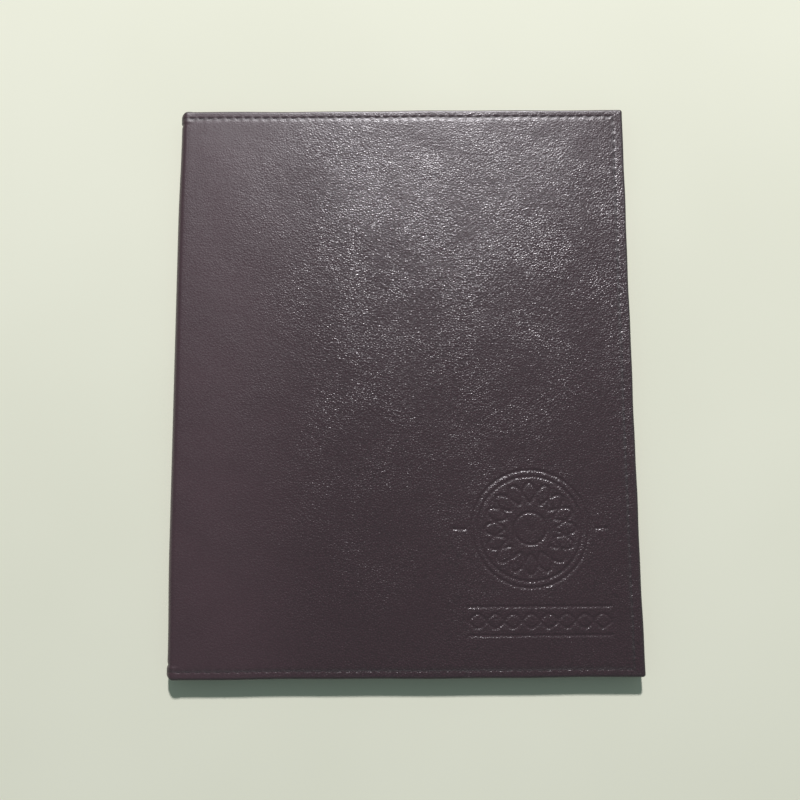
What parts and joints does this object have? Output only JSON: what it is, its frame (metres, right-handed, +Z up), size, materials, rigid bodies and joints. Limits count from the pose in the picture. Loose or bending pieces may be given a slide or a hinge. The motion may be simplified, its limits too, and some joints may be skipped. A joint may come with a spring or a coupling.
{
  "type": "notebook cover",
  "caption": "Soft folding cover in pebbled leather that holds a writing pad in an inner pocket, with stitched edges, a soft spine, document and card pockets and a pen loop.",
  "frame": {"origin": "centre of the resting face of the closed cover, on the surface that it lies on", "axes": "+X from the spine to the fore-edge, +Y to the head of the pages, +Z up out of the front cover"},
  "size_m": [0.25, 0.312, 0.01],
  "materials": {
    "leather": "satin pebbled grain, dark aubergine brown",
    "foam": "thin closed-cell foam",
    "board": "grey-brown stiffening board",
    "reinforcement": "stiff non-woven",
    "lining": "matt woven lining",
    "thread": "twisted polyester sewing thread",
    "pocket_leather": "satin fine grain",
    "elastic": "ribbed elastic tape",
    "backing_card": "grey pad backing",
    "paper": "smooth, faintly ruled",
    "binding_tape": "matt bookbinding tape"
  },
  "bodies": {
    "back": {"back_leather": "leather", "back_foam": "foam", "back_board": "board", "back_lining": "lining", "back_seam_thread": "thread", "back_bobbin_thread": "thread", "pad_pocket_gusset": "pocket_leather", "pad_pocket_panel": "pocket_leather", "pad_pocket_thread": "thread", "pen_loop": "elastic"},
    "spine": {"spine_leather": "leather", "spine_reinforcement": "reinforcement", "spine_lining": "lining", "spine_seam_thread": "thread"},
    "front": {"front_leather": "leather", "front_foam": "foam", "front_board": "board", "front_lining": "lining", "front_seam_thread": "thread", "front_bobbin_thread": "thread", "document_pocket_gusset": "pocket_leather", "document_pocket_panel": "pocket_leather", "document_pocket_thread": "thread", "card_pocket_upper": "pocket_leather", "card_pocket_middle": "pocket_leather", "card_pocket_lower": "pocket_leather", "card_pocket_thread": "thread"},
    "writing_pad": {"pad_backing_board": "backing_card", "pad_sheets": "paper", "pad_binding": "binding_tape"}
  },
  "joints": [
    {"name": "spine_hinge", "type": "hinge", "parent": "back", "child": "spine", "pos_m": [-0.12414, 0, 0.00086], "axis": [0, -1, 0], "range_deg": [0, 90]},
    {"name": "front_hinge", "type": "hinge", "parent": "spine", "child": "front", "pos_m": [-0.12414, 0, 0.00914], "axis": [0, -1, 0], "range_deg": [0, 90]},
    {"name": "pad_slide", "type": "slide", "parent": "back", "child": "writing_pad", "axis": [0, 1, 0], "range_m": [0, 0.09]}
  ],
  "couplings": [
    {"joint": "front_hinge", "follows": "spine_hinge", "ratio": 1}
  ]
}
